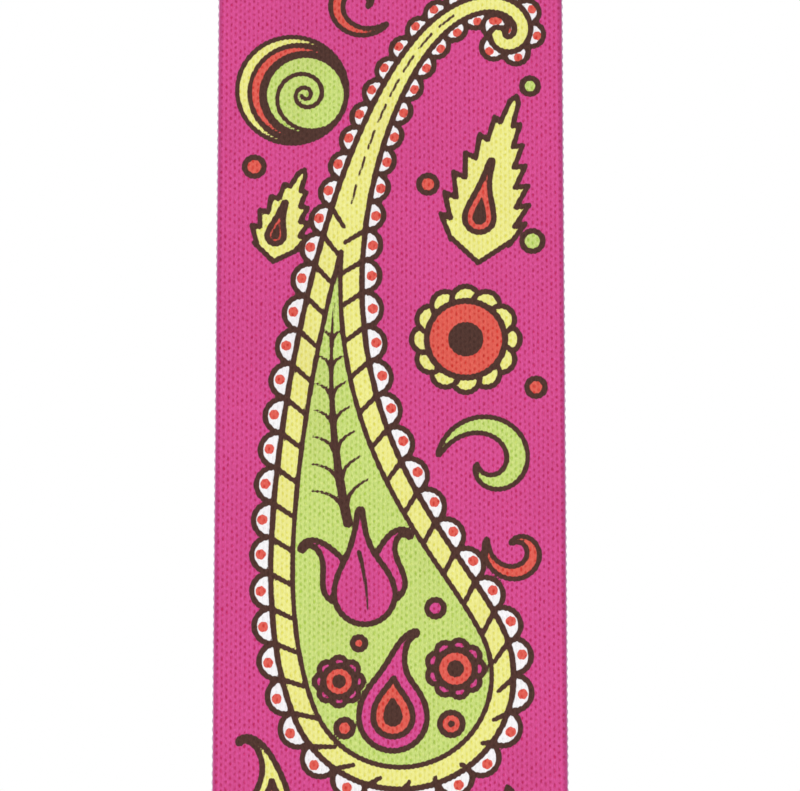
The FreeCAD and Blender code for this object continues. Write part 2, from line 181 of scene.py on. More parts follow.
def distance_to_outline(corners: Array, u: Array, v: Array) -> Array:
    """The signed distance to a closed outline with straight sides.

    It is the distance to the nearest side, negative where a ray crosses an odd number of sides.

    Args:
        corners: The outline's corners, one row each.
        u: Places across the strap.
        v: Places along the strap.

    Returns:
        The signed distance at each place, FAR a long way off.
    """
    side = np.roll(corners, -1, axis=0) - corners
    result = np.full(u.shape, FAR, np.float32)
    near = np.flatnonzero(nearby(u, v, corners, OUTLINE_REACH))
    du = u[near, None] - corners[:, 0]
    dv = v[near, None] - corners[:, 1]
    length = np.maximum((side**2).sum(axis=1), 1e-12)
    share = np.clip((du * side[:, 0] + dv * side[:, 1]) / length, 0, 1)
    gap = np.hypot(du - share * side[:, 0], dv - share * side[:, 1]).min(axis=1)
    above, below = dv >= 0, dv < side[:, 1]
    turn = side[:, 0] * dv - side[:, 1] * du
    crossed = (above & below & (turn > 0)) | (~above & ~below & (turn < 0))
    result[near] = np.where(crossed.sum(axis=1) % 2 == 1, -gap, gap)
    return result


def line_from(u: float, v: float, headings: Array, step: float) -> Array:
    """Walks from a point, one step along each heading.

    Args:
        u: Where the walk starts, across the strap.
        v: Where the walk starts, along the strap.
        headings: The heading of each step in degrees, 0 to the right and 90 down the strap.
        step: The length of a step.

    Returns:
        The points of the walk, one more than the headings.
    """
    angle = np.radians(headings)
    return beside(
        u + np.concatenate([[0.0], np.cumsum(np.cos(angle))]) * step,
        v + np.concatenate([[0.0], np.cumsum(np.sin(angle))]) * step,
    )


@dataclass(frozen=True)
class Disc:
    """A plain disc."""

    u: float
    v: float
    radius: float

    def distance(self, u: Array, v: Array) -> Array:
        """The distance to the centre, less the radius."""
        return np.hypot(u - self.u, v - self.v) - self.radius


@dataclass(frozen=True)
class Crescent:
    """What one disc leaves of another."""

    whole: Disc
    bite: Disc

    def distance(self, u: Array, v: Array) -> Array:
        """The larger of the distance into the whole disc and out of the bite."""
        return np.maximum(self.whole.distance(u, v), -self.bite.distance(u, v))


@dataclass(frozen=True)
class Tendril:
    """A stroke that winds in like a snail shell and swells on the way.

    Its radius shrinks by the same share each turn, and its half width is thin at both ends and
    thick in between, as a sine.
    """

    u: float
    v: float
    outer: float
    inner: float
    turns: float
    start: float
    thin: float
    thick: float

    def distance(self, u: Array, v: Array) -> Array:
        """The distance to the winding line, less its half width."""
        per_turn = 400
        share = np.linspace(0, 1, int(per_turn * abs(self.turns)) + 2)
        angle = math.radians(self.start) + share * self.turns * 2 * math.pi
        radius = self.outer * (self.inner / self.outer) ** share
        half_width = self.thin + (self.thick - self.thin) * np.sin(math.pi * share**0.8)
        path = beside(
            self.u + radius * np.cos(angle), self.v + radius * np.sin(angle), half_width
        )
        return distance_to_discs(evenly(path, STEP), u, v)


@dataclass(frozen=True)
class Leaf:
    """A leaf with teeth that lean towards its tip.

    Its half width follows a sine of the square root of the share of its length, and steps out
    at each tooth. The four sizes with defaults are shares of the half width or of the length.
    """

    u: float
    v: float
    half_width: float
    length: float
    heading: float
    bend: float
    teeth: int
    tooth_out: float = 1.16
    tooth_in: float = 0.86
    tooth_lean: float = 0.085
    point: float = 0.06

    def distance(self, u: Array, v: Array) -> Array:
        """The distance to the toothed outline."""
        count = 2 * self.teeth + 1
        share = np.linspace(0, 1, count)
        tooth = np.arange(count) % 2 == 1
        middle = line_from(
            self.u, self.v, self.heading + self.bend * share[1:], self.length / (count - 1)
        )
        angle = np.radians(self.heading + self.bend * share)
        along = beside(np.cos(angle), np.sin(angle))
        across = left_of(along)
        half = self.half_width * np.sin(math.pi * share**0.5)
        half = half * np.where(tooth, self.tooth_out, self.tooth_in)
        ahead = np.where(tooth, self.tooth_lean * self.length, 0.0)
        sides = [
            middle + ahead[:, None] * along + way * half[:, None] * across for way in (1, -1)
        ]
        point = middle[-1:] + along[-1:] * self.point * self.length
        corners = np.vstack([sides[0][:-1], point, sides[1][-2:0:-1]])
        return distance_to_outline(corners, u, v)


@dataclass(frozen=True)
class Drop:
    """A curled drop: a disc that moves off from its base, shrinks, and turns ever tighter.

    At a distance s from the base of a drop of length L, the heading is the first heading, plus
    the bend times s / L, plus the curl times exp((s - L) / tightness). The radius is the tip's,
    plus the rest times exp(-(s / (waist L)) ** 1.5).
    """

    u: float
    v: float
    base: float
    length: float
    heading: float
    bend: float = 0.0
    curl: float = 0.0
    tightness: float = 1.0
    waist: float = 0.5
    tip: float = 0.12
    inset: float = 0.0

    def path(self) -> Array:
        """The disc's centres and radii from tip to base, without those that the inset uses up."""
        step, least = 0.15, 0.04
        gone = np.arange(0, self.length, step)
        heading = (
            self.heading
            + self.bend * gone / self.length
            + self.curl * np.exp((gone - self.length) / self.tightness)
        )
        centre = line_from(self.u, self.v, heading, step)[:-1]
        shrink = np.exp(-((gone / (self.waist * self.length)) ** 1.5))
        radius = self.tip + (self.base - self.tip) * shrink - self.inset
        path = np.concatenate([centre, radius[:, None]], axis=1)
        return path[radius > least][::-1]

    def inside(self, inset: float) -> "Drop":
        """The same drop, drawn in from its edge."""
        return replace(self, inset=inset)

    def distance(self, u: Array, v: Array) -> Array:
        """The distance to the nearest of its discs."""
        return distance_to_discs(self.path(), u, v)


@dataclass(frozen=True)
class Stem:
    """A tapered line from one point to another, bowed to one side by a share of its length."""

    start: tuple[float, float]
    end: tuple[float, float]
    half_widths: tuple[float, float]
    bow: float = 0.0

    def distance(self, u: Array, v: Array) -> Array:
        """The distance to the bowed line, less its half width."""
        points = 60
        share = np.linspace(0, 1, points)
        du, dv = self.end[0] - self.start[0], self.end[1] - self.start[1]
        off = self.bow * np.sin(math.pi * share)
        first, last = self.half_widths
        path = beside(
            self.start[0] + share * du - off * dv,
            self.start[1] + share * dv + off * du,
            first + (last - first) * share,
        )
        return distance_to_discs(evenly(path, STEP), u, v)


@dataclass(frozen=True)
class Stroke:
    """A disc carried along given centres, with given radii."""

    path: Array

    def distance(self, u: Array, v: Array) -> Array:
        """The distance to the nearest centre, less the radius there."""
        return distance_to_discs(self.path, u, v)


Shape = Disc | Crescent | Tendril | Leaf | Drop | Stem | Stroke


# ------------------------------------------------------------------ the print


class PrintedCloth:
    """The print on a set of places: a dye, the distance to ink and the distance to a dot."""

    def __init__(self, u: Array, v: Array) -> None:
        """Starts as plain ground.

        Args:
            u: Places across the strap, in millimetres from its left edge.
            v: Places along the repeat, in millimetres.
        """
        self.u = u
        self.v = v
        self.dye = np.tile(np.array(Dye.GROUND.value, np.float32), (len(u), 1))
        self.ink = np.full(len(u), FAR, np.float32)
        self.dots = np.full(len(u), FAR, np.float32)

    def fill(self, shape: Shape, dye: Dye, outline: float = 0.36) -> None:
        """Lays a dye inside a shape, over whatever was there, and inks its edge.

        Args:
            shape: The shape.
            dye: The colour inside.
            outline: Half the width of the ink round it, or 0 for none.
        """
        gap = shape.distance(self.u, self.v)
        self.dye[gap < 0] = dye.value
        self.ink = np.maximum(self.ink, -gap)
        self.dots = np.maximum(self.dots, -gap)
        if outline:
            self.ink = np.minimum(self.ink, np.abs(gap) - outline)

    def line(self, shape: Shape) -> None:
        """Lays solid ink inside a shape."""
        self.ink = np.minimum(self.ink, shape.distance(self.u, self.v))

    def dot(self, disc: Disc) -> None:
        """Adds a dot with no outline."""
        self.dots = np.minimum(self.dots, disc.distance(self.u, self.v))

    def nested(self, drop: Drop, layers: tuple[tuple[float, Dye], ...], core: float) -> None:
        """Paints a drop, the same drop again further in for each layer, and an inked core."""
        for inset, dye in layers:
            self.fill(drop.inside(inset), dye, 0.42)
        self.line(drop.inside(core))


@dataclass(frozen=True)
class Edge:
    """Places round a boteh's edge: point, way out, way towards the base, radius, and the way
    along it."""

    point: Array
    out: Array
    down: Array
    radius: Array


@dataclass(frozen=True)
class Boteh:
    """The large curled drop of a paisley, with a barred rim and a row of beads round it.

    A bead's size grows with the drop's radius beside it, up to full_radius.
    """

    drop: Drop
    rim: float = 3.1
    neck: float = 2.6
    thinnest: float = 1.3
    bead_rise: float = 0.2
    bead_size: float = 1.5
    bead_growth: float = 0.24
    full_radius: float = 4.2
    dot_rise: float = 1.05
    dot_radius: float = 0.74
    bead_pitch: float = 2.02
    bar_slant: float = 2.3
    dash: int = 19
    dash_pitch: int = 28
    twigs: int = 7

    def edge(self, offset: float) -> Edge:
        """Works out the envelope of the growing disc, offset outwards.

        A disc of radius r that moves along a line touches its envelope where the way out leans
        back by the rate at which r grows. The two sides are closed by arcs about the end discs.

        Args:
            offset: How far outside the drop.

        Returns:
            The places round the edge, down one side from the tip and back up the other.
        """
        path = self.drop.path()
        centre, radius = path[:, :2], path[:, 2] + offset
        step = np.gradient(centre, axis=0)
        length = np.hypot(step[:, 0], step[:, 1])[:, None]
        down = step / length
        growth = np.clip(np.gradient(radius)[:, None] / length, -0.95, 0.95)
        across = left_of(down)
        lean = np.sqrt(1 - growth**2)
        sides = [-growth * down + way * lean * across for way in (1, -1)]
        base = self.arc(sides[0][-1], sides[1][-1], down[-1])
        head = self.arc(sides[1][0], sides[0][0], -down[0])
        out = np.vstack([sides[0], base, sides[1][::-1], head])
        rows = np.arange(len(path))
        index = np.concatenate(
            [rows, np.full(len(base), rows[-1]), rows[::-1], np.zeros(len(head), int)]
        )
        point = centre[index] + radius[index, None] * out
        return Edge(point, out, down[index], path[index, 2])

    @staticmethod
    def arc(first: Array, last: Array, through: Array) -> Array:
        """Unit directions from first to last, turning past through."""
        middle = math.atan2(through[1], through[0])
        before, after = (
            (math.atan2(way[1], way[0]) - middle + math.pi) % (2 * math.pi) - math.pi
            for way in (first, last)
        )
        angle = middle + np.linspace(before, after, ARC_POINTS)
        return beside(np.cos(angle), np.sin(angle))

    def paint(self, cloth: PrintedCloth) -> None:
        """Paints the beads, then the barred rim and the field over their inner halves."""
        edge = self.edge(self.bead_rise)
        size = self.bead_size + self.bead_growth * np.minimum(edge.radius, self.full_radius)
        step = np.hypot(*np.diff(edge.point, axis=0, prepend=edge.point[-1:]).T)
        along = np.cumsum(step / size)
        beads = round(along[-1] / self.bead_pitch)
        marks = np.searchsorted(along, along[-1] * (np.arange(beads) + 0.5) / beads)
        body = self.drop.distance(edge.point[marks, 0], edge.point[marks, 1])
        kept = marks[body > self.bead_rise - 0.25]
        for mark in kept:
            cloth.fill(Disc(*edge.point[mark], size[mark]), Dye.WHITE, 0.4)
        for mark in kept:
            place = edge.point[mark] + edge.out[mark] * self.dot_rise * size[mark] / 2.1
            cloth.dot(Disc(*place, self.dot_radius * min(1.0, size[mark] / 2.0)))
        cloth.fill(self.drop, Dye.LEMON, 0.42)
        bars = np.searchsorted(along, along[-1] * np.arange(beads) / beads) % len(along)
        for mark in bars[edge.radius[bars] > self.neck]:
            outer = edge.point[mark]
            depth = min(self.rim + 0.2, edge.radius[mark] - 0.1)
            inner = outer - edge.out[mark] * depth + edge.down[mark] * self.bar_slant
            cloth.line(Stem(tuple(outer), tuple(inner), (0.4, 0.32)))
        self.paint_neck(cloth)
        cloth.fill(self.drop.inside(self.rim), Dye.LIME, 0.36)
        self.paint_fern(cloth)

    def paint_neck(self, cloth: PrintedCloth) -> None:
        """Inks a broken line down the middle of the narrow neck."""
        path = self.drop.path()
        narrow = path[(path[:, 2] > self.thinnest) & (path[:, 2] < self.neck)]
        for first in range(0, len(narrow) - self.dash - 1, self.dash_pitch):
            start, finish = narrow[first], narrow[first + self.dash]
            cloth.line(Stem(tuple(start[:2]), tuple(finish[:2]), (0.2, 0.16)))

    def paint_fern(self, cloth: PrintedCloth) -> None:
        """Inks a stem down the middle of the field, thicker further down, with pairs of twigs
        whose reach is a share of the field's half width."""
        path = self.drop.path()
        field = path[(path[:, 2] > self.rim + 0.9) & (path[:, 2] < self.rim + 7.6)]
        stem = field.copy()
        stem[:, 2] = np.linspace(0.14, 0.75, len(stem))
        cloth.line(Stroke(stem))
        way_up = field[:-1, :2] - field[1:, :2]
        way_up /= np.hypot(way_up[:, 0], way_up[:, 1])[:, None]
        for index in np.linspace(0.2, 0.97, self.twigs) * (len(way_up) - 1):
            root, up = field[int(index)], way_up[int(index)]
            reach = 0.5 * (root[2] - self.rim) + 0.4
            for way in (-1, 1):
                side = np.array([-up[1], up[0]]) * way
                tip = root[:2] + side * reach + up * (1.3 + reach * 0.75)
                cloth.line(Stem(tuple(root[:2]), tuple(tip), (0.38, 0.16), -0.17 * way))


@dataclass(frozen=True)
class StrapPrint:
    """One repeat of a paisley.

    u runs from 0 at the left edge to 50 at the right. v runs down the front leg and repeats
    every `repeat` millimetres; a repeat is cut at half of that, less `cut_lift`, above 0.
    """

    repeat: float = 133.0
    cut_lift: float = 2.0
    boteh: Boteh = Boteh(Drop(26.4, 40.2, 16.0, 120.5, -115.0, 66.0, 325.0, 7.2, 0.332, 1.05))

    def paint(self, u: Array, v: Array) -> PrintedCloth:
        """Paints every motif at the given places.

        Args:
            u: Places across the strap, in millimetres.
            v: Places along the strap, in millimetres, any number of repeats long.

        Returns:
            The print at those places.
        """
        start = -self.repeat / 2 - self.cut_lift
        cloth = PrintedCloth(u, (v - start) % self.repeat + start)
        self.paint_tendrils(cloth)
        self.paint_shell(cloth)
        self.paint_leaves(cloth)
        self.paint_rosette(cloth, Disc(35.8, -8.2, 5.6), 12, 1.95, Dye.LEMON)
        self.boteh.paint(cloth)
        self.paint_bud(cloth)
        self.paint_base(cloth)
        return cloth

    @staticmethod
    def paint_leaves(cloth: PrintedCloth) -> None:
        """Paints the toothed leaves beside the drop, each with a small heart."""
        for leaf, heart in (
            (Leaf(37.6, -19.4, 5.4, 24.0, -86, 16, 8), Drop(37.8, -26.0, 2.1, 8.6, -84, 12)),
            (Leaf(8.2, -19.6, 3.5, 13.5, -82, 18, 6), Drop(8.5, -23.4, 1.2, 5.0, -80, 12)),
            (Leaf(43.4, 68.4, 3.0, 12.0, -92, -12, 6), Drop(43.4, 65.0, 1.0, 4.2, -92, -8)),
        ):
            cloth.fill(leaf, Dye.LEMON, 0.38)
            cloth.nested(heart, ((0.0, Dye.ORANGE),), heart.base * 0.52)
        for disc, dye in (
            (Disc(5.4, -33.6, 1.4), Dye.ORANGE),
            (Disc(30.4, -31.0, 1.3), Dye.ORANGE),
            (Disc(45.4, -22.6, 1.5), Dye.LIME),
            (Disc(45.8, -1.2, 1.3), Dye.ORANGE),
            (Disc(45.2, -45.6, 1.2), Dye.LIME),
        ):
            cloth.fill(disc, dye, 0.42)
        corner = Drop(7.8, 60.4, 3.3, 14.0, -72, -60, -110, 1.6, 0.45)
        cloth.nested(corner, ((0.0, Dye.LEMON), (1.5, Dye.ORANGE)), 2.4)

    @staticmethod
    def paint_tendrils(cloth: PrintedCloth) -> None:
        """Paints the tendrils that curl off from the drop's rim."""
        for tendril, dye in (
            (Tendril(20.4, -58.2, 5.2, 1.5, 0.95, 40, 0.12, 0.9), Dye.ORANGE),
            (Tendril(39.2, 9.8, 7.4, 1.9, 0.95, 190, 0.12, 1.5), Dye.LIME),
            (Tendril(43.0, 22.4, 4.6, 1.4, -0.9, 200, 0.12, 0.95), Dye.ORANGE),
        ):
            cloth.fill(tendril, dye)

    @staticmethod
    def paint_shell(cloth: PrintedCloth) -> None:
        """Paints a round shell: a coil on lime, backed by crescents on solid ink."""
        cloth.line(Disc(10.8, -45.0, 8.3))
        cloth.fill(Crescent(Disc(10.8, -45.0, 7.9), Disc(11.8, -44.6, 7.2)), Dye.LEMON, 0.3)
        cloth.fill(Crescent(Disc(11.6, -44.7, 6.9), Disc(12.6, -44.3, 6.3)), Dye.ORANGE, 0.3)
        cloth.fill(Disc(12.7, -44.3, 5.9), Dye.LIME, 0.4)
        cloth.line(Tendril(12.7, -44.3, 5.7, 0.5, 2.3, 60, 0.3, 0.34))

    @staticmethod
    def paint_rosette(cloth: PrintedCloth, heart: Disc, petals: int, size: float, dye: Dye) -> None:
        """Paints a rosette: round petals behind an orange heart with a ring in it.

        Args:
            cloth: The cloth to paint on.
            heart: The rosette's middle.
            petals: How many petals it has.
            size: The radius of one petal.
            dye: The petals' colour.
        """
        for angle in np.arange(petals) * 2 * math.pi / petals:
            reach = heart.radius + 0.2
            petal = Disc(heart.u + reach * math.cos(angle), heart.v + reach * math.sin(angle), size)
            cloth.fill(petal, dye, 0.4)
        cloth.fill(heart, Dye.ORANGE, 0.45)
        cloth.line(Disc(heart.u, heart.v, 0.45 * heart.radius))

    @staticmethod
    def paint_bud(cloth: PrintedCloth) -> None:
        """Paints a hanging bud: two petals that curl away behind a middle one with a vein."""
        cloth.fill(Drop(24.4, 27.0, 2.7, 9.5, -96, 20, 150, 1.8), Dye.GROUND, 0.42)
        cloth.fill(Drop(18.0, 27.4, 2.5, 9.5, -104, -20, -150, 1.8), Dye.GROUND, 0.42)
        cloth.fill(Drop(21.4, 28.6, 4.3, 12.0, -98, 10), Dye.GROUND, 0.42)
        cloth.line(Stem((20.6, 22.6), (21.8, 30.8), (0.34, 0.14), -0.03))

    def paint_base(self, cloth: PrintedCloth) -> None:
        """Paints a nested drop between two rosettes, and rings, at the foot of the field."""
        layers = ((0.0, Dye.GROUND), (2.0, Dye.ORANGE))
        cloth.nested(Drop(25.4, 46.0, 4.8, 13.0, -94, 24, 60, 1.8, 0.45), layers, 3.4)
        self.paint_rosette(cloth, Disc(34.2, 39.2, 2.7), 9, 1.2, Dye.GROUND)
        self.paint_rosette(cloth, Disc(17.8, 41.0, 2.2), 8, 1.05, Dye.GROUND)
        for disc, dye in (
            (Disc(33.6, 47.0, 1.6), Dye.ORANGE),
            (Disc(18.6, 47.6, 1.2), Dye.ORANGE),
            (Disc(31.4, 30.6, 1.2), Dye.GROUND),
            (Disc(20.6, 35.6, 0.9), Dye.ORANGE),
        ):
            cloth.fill(disc, dye, 0.42)
        cloth.line(Disc(33.6, 47.0, 0.5))


# ------------------------------------------------------------------ the cloth route


@dataclass(frozen=True)
class Route:
    """The line that the middle of the webbing follows, seen from the side.

    It goes up the front leg, over the peg, down the back leg, round the ring's upper bar, up to
    the slider and over its bar. Places on it are distances from its start, in millimetres, and
    the printed face is always on its left.
    """

    fold_radius: float = 22.7
    half_thickness: float = 0.7
    start_drop: float = 466.0
    ring_bar: tuple[float, float] = (19.95, 398.0)
    ring_radius: float = 2.75
    slider_bar: tuple[float, float] = (18.55, 62.0)
    bar_radius: float = 2.35
    return_y: float = 20.9
    return_top: float = 378.0
    flap: tuple[float, float, float] = (19.5, 74.0, 94.0)
    spacing: float = 0.1
    softening: float = 2.0

    def corners(self) -> Array:
        """The route's straight runs and half turns, as points (y, z), before it is softened."""
        fold, flap = self.fold_radius, self.flap
        return np.vstack(
            [
                [(-fold, -self.start_drop)],
                self.half_turn(0.0, fold - self.half_thickness, fold, 180, 0),
                self.half_turn(*self.ring_bar, self.ring_radius, 0, -180),
                [(self.return_y, -self.return_top)],
                self.half_turn(*self.slider_bar, self.bar_radius, 0, 180),
                [(flap[0], -flap[1]), (flap[0], -flap[2])],
            ]
        )

    @staticmethod
    def half_turn(
        centre_y: float, centre_drop: float, radius: float, first: float, last: float
    ) -> Array:
        """An arc's points (y, z), from one angle to another in degrees.

        Args:
            centre_y: The centre's y.
            centre_drop: The centre's drop below the peg.
            radius: The arc's radius.
            first: The angle at its start, 0 towards +y and 90 upwards.
            last: The angle at its end.

        Returns:
            The points.
        """
        angle = np.radians(np.linspace(first, last, ARC_POINTS))
        return beside(centre_y + radius * np.cos(angle), -centre_drop + radius * np.sin(angle))

    def line(self) -> tuple[Array, Array]:
        """Walks the route at an even spacing, with its corners softened by a moving average.

        Returns:
            The distances along the route, and the points (y, z) there.
        """
        corners = self.corners()
        along = lengths_along(corners)
        wanted = np.arange(0, along[-1], self.spacing)
        points = lookup(wanted, along, corners)
        half = int(self.softening / self.spacing / 2)
        before = points[0] - (points[1] - points[0]) * np.arange(half, 0, -1)[:, None]
        after = points[-1] + (points[-1] - points[-2]) * np.arange(1, half + 1)[:, None]
        padded = np.vstack([before, points, after])
        kernel = np.ones(2 * half + 1) / (2 * half + 1)
        return wanted, beside(*(np.convolve(column, kernel, "valid") for column in padded.T))

    def front(self, drop: float) -> float:
        """The distance along the route at a height on the front leg."""
        return self.start_drop - drop

    def top(self) -> float:
        """The distance along the route at the top of the fold."""
        quarter = math.pi * self.fold_radius / 2
        return self.start_drop - self.fold_radius + self.half_thickness + quarter

    def back(self, drop: float) -> float:
        """The distance along the route at a height on the outer layer of the back leg."""
        quarter = math.pi * self.fold_radius / 2
        return self.top() + quarter + drop - self.fold_radius + self.half_thickness

    def inner(self, drop: float) -> float:
        """The distance along the route at a height on the layer between ring and slider."""
        turn = math.pi * self.ring_radius
        rise = self.ring_bar[1] - self.return_top
        slope = math.hypot(rise, self.return_y - self.ring_bar[0] + self.ring_radius)
        return self.back(self.ring_bar[1]) + turn + slope + self.return_top - drop

    def length(self) -> float:
        """The whole route's length."""
        return float(self.line()[0][-1])


@dataclass(frozen=True)
class Fall:
    """Which bodies one piece of webbing goes with: one that it rides on, or two that it lies
    between over a range of heights, both in millimetres below the top of the peg."""

    body: str
    far_body: str | None = None
    near_drop: float = 0.0
    far_drop: float = 0.0


@dataclass(frozen=True)
class Cut:
    """One piece of the webbing's mesh."""

    name: str
    start: float
    end: float
    cell: float
    fall: Fall
    replaces: tuple[str, ...]
    held: str = "hung"


@dataclass
class Webbing:
    """The printed strip, cut along its length into pieces, each tied to a body or fixed in place.
    """

    route: Route = Route()
    width: float = 50.0
    thickness: float = 1.4
    edge: float = 0.55
    back_cell: float = 1.9
    seam: float = 0.003
    bulge: float = 0.07
    bulge_pitch: float = 1.24
    printed_side: float = -0.4
    print_middle: float = 301.0
    design: StrapPrint = StrapPrint()

    def cuts(self) -> list[Cut]:
        """Lists the pieces of the strip from the plain tab to the slider."""
        r = self.route
        peg, upper, lower = "peg_fold", "front_leg_upper", "front_leg_lower"
        return [
            Cut("webbing_sewn_end", r.front(466), r.front(340), 0.4,
                Fall(lower, "plain_tab", 401, 429), ("webbing_tab_end",)),
            Cut("webbing_lower_leg", r.front(340), r.front(226), 0.4,
                Fall(upper, lower, 236, 288), ("webbing_front_lower",)),
            Cut("webbing_front_panel", r.front(226), r.front(96), 0.3,
                Fall(upper), ("webbing_front_upper",)),
            Cut("webbing_front_shoulder", r.front(96), r.top(), 0.4,
                Fall(peg, upper, 14, 43), ("webbing_over_peg",)),
            Cut("webbing_back_shoulder", r.top(), r.back(90), 0.4,
                Fall(peg, "back_leg", 14, 43), ("webbing_over_peg",)),
            Cut("webbing_back_leg", r.back(90), r.back(368), 0.45,
                Fall("back_leg", "slider", 110, 626), ("webbing_back_run",)),
            Cut("webbing_ring_loop", r.back(368), r.inner(368), 0.45,
                Fall("ring_end"), ("webbing_ring_turn",), "folded"),
            Cut("webbing_inner_leg", r.inner(368), r.inner(98), 0.7,
                Fall("slider", "ring_end", 98, 368), ("webbing_return",)),
            Cut("webbing_slider_loop", r.inner(98), r.length(), 0.5,
                Fall("slider"), ("webbing_bar_loop",), "folded"),
        ]

    def profile(self, cell: float) -> Array:
        """The strip's cross-section, a closed line with rounded sides.

        It runs along the printed face from left to right, round the right edge, back along the
        plain face and round the left edge. Columns are the place across, the height towards the
        printed face, and a side that goes smoothly from 1 on the printed face to -1 on the other.

        Args:
            cell: The spacing on the printed face.

        Returns:
            The profile's points, one row each.
        """
        flat, half = self.width / 2 - self.edge, self.thickness / 2
        front = np.linspace(-flat, flat, int(2 * flat / cell) + 1)
        back = np.linspace(flat, -flat, int(2 * flat / self.back_cell) + 1)
        turn = np.linspace(math.pi / 2, -math.pi / 2, 8)[1:-1]
        right = beside(flat + self.edge * np.cos(turn), half * np.sin(turn), np.sin(turn))
        top = beside(front, np.full_like(front, half), np.ones_like(front))
        under = beside(back, np.full_like(back, -half), -np.ones_like(back))
        return np.vstack([top, right, under, right[::-1] * (-1, 1, 1)])

    def piece(self, cut: Cut) -> Thing:
        """Carries the profile along one stretch of the route.

        A point is the route's point, plus its height times the route's left normal, plus its
        place across. The edges bulge a little at every pick of the weave.

        Args:
            cut: The stretch.

        Returns:
            The piece, with its print stored on its points.
        """
        profile = self.profile(cut.cell)
        rows = max(2, round((cut.end - cut.start) / cut.cell) + 1)
        along = np.linspace(cut.start + self.seam, cut.end - self.seam, rows)
        wanted, line = self.route.line()
        look = 0.05
        behind, middle, ahead = (lookup(along + off, wanted, line) for off in (-look, 0.0, look))
        way = ahead - behind
        way /= np.hypot(way[:, 0], way[:, 1])[:, None]
        normal = left_of(way)
        nearness = np.clip(np.abs(profile[:, 0]) - (self.width / 2 - self.edge), 0, 1) / self.edge
        bulge = self.bulge * np.sin(2 * math.pi * along / self.bulge_pitch)
        x = profile[None, :, 0] + np.sign(profile[:, 0]) * nearness * bulge[:, None]
        y = middle[:, None, 0] + profile[None, :, 1] * normal[:, None, 0]
        z = middle[:, None, 1] + profile[None, :, 1] * normal[:, None, 1]
        points = beside(x, y, z).reshape(-1, 3) * MM
        piece = closed_sleeve(cut.name, points, rows, len(profile))
        across = (x + self.width / 2).ravel()
        down = np.repeat(self.print_middle - along, len(profile))
        side = np.tile(profile[:, 2], rows)
        self.store_print(piece, across, down, side)
        return piece

    def store_print(self, piece: Thing, across: Array, down: Array, side: Array) -> None:
        """Paints the printed face and keeps the result as attributes of the piece's points.

        Args:
            piece: The piece of webbing.
            across: Each point's place across the strip.
            down: Each point's place along the print.
            side: Each point's side, 1 on the printed face.
        """
        faced = side > self.printed_side
        cloth = self.design.paint(across[faced], down[faced])
        dye = np.tile(np.array(Dye.REVERSE.value, np.float32), (len(side), 1))
        ink, dots = (np.full(len(side), FAR, np.float32) for _ in range(2))
        dye[faced], ink[faced], dots[faced] = cloth.dye, cloth.ink, cloth.dots
        for name, kind, key, values in (
            ("cloth", "FLOAT_VECTOR", "vector", beside(across, down, side)),
            ("dye", "FLOAT_COLOR", "color", dye),
            ("ink", "FLOAT", "value", ink),
            ("dots", "FLOAT", "value", dots),
        ):
            layer = piece.data.attributes.new(name, kind, "POINT")
            layer.data.foreach_set(key, values.astype(np.float32).ravel())

    def build(self, finish: Material) -> None:
        """Makes, dresses and hangs every piece of the strip."""
        for cut in self.cuts():
            piece = self.piece(cut)
            piece.data.materials.append(finish)
            self.hang(piece, cut)
            log.info("%s: %d faces", piece.name, len(piece.data.polygons))

    def hang(self, piece: Thing, cut: Cut) -> None:
        """Ties a piece to its body, or fixes it in place if it lies between two, and hides the CAD
        nodes that it replaces.
        """
        fall = cut.fall
        if fall.far_body is None:
            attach(piece, fall.body)
        else:
            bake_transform(piece)
        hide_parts(*cut.replaces)


def linked(name: str, data: bpy.types.ID) -> Thing:
    """Makes an object of some data and links it to the scene."""
    made = bpy.data.objects.new(name, data)
    bpy.context.scene.collection.objects.link(made)
    return made


def closed_sleeve(name: str, points: Array, rows: int, columns: int) -> Thing:
    """Skins rings of points and closes both ends.

    Each ring joins the next by a band of four-sided faces, and the first and last rings are
    filled. The map puts the way round on U and the way along on V.

    Args:
        name: The object's name.
        points: The rings' points in metres, ring after ring.
        rows: How many rings.
        columns: How many points in a ring.

    Returns:
        The object, linked to the scene.
    """
    row, column = np.meshgrid(np.arange(rows - 1), np.arange(columns), indexing="ij")
    after = (column + 1) % columns
    here, ahead = row * columns, (row + 1) * columns
    quads = beside(here + column, here + after, ahead + after, ahead + column)
    last = (rows - 1) * columns
    caps = [list(range(columns - 1, -1, -1)), list(range(last, last + columns))]
    faces = quads.reshape(-1, 4).tolist() + caps
    mesh = bpy.data.meshes.new(name)
    mesh.from_pydata(points, [], faces)
    smooth = np.ones(len(faces), bool)
    smooth[-2:] = False
    mesh.polygons.foreach_set("use_smooth", smooth)
    corner_u = beside(column, column + 1, column + 1, column).reshape(-1) / columns
    corner_v = beside(row, row, row + 1, row + 1).reshape(-1) / max(1, rows - 1)
    cap = np.arange(columns) / columns
    map_u = np.concatenate([corner_u, cap[::-1], cap])
    map_v = np.concatenate([corner_v, cap * 0, cap * 0 + 1])
    layer = mesh.uv_layers.new(name=STRAP_UV)
    layer.data.foreach_set("uv", beside(map_u, map_v).astype(np.float32).ravel())
    mesh.validate()
    return linked(name, mesh)


# ------------------------------------------------------------------ stitches


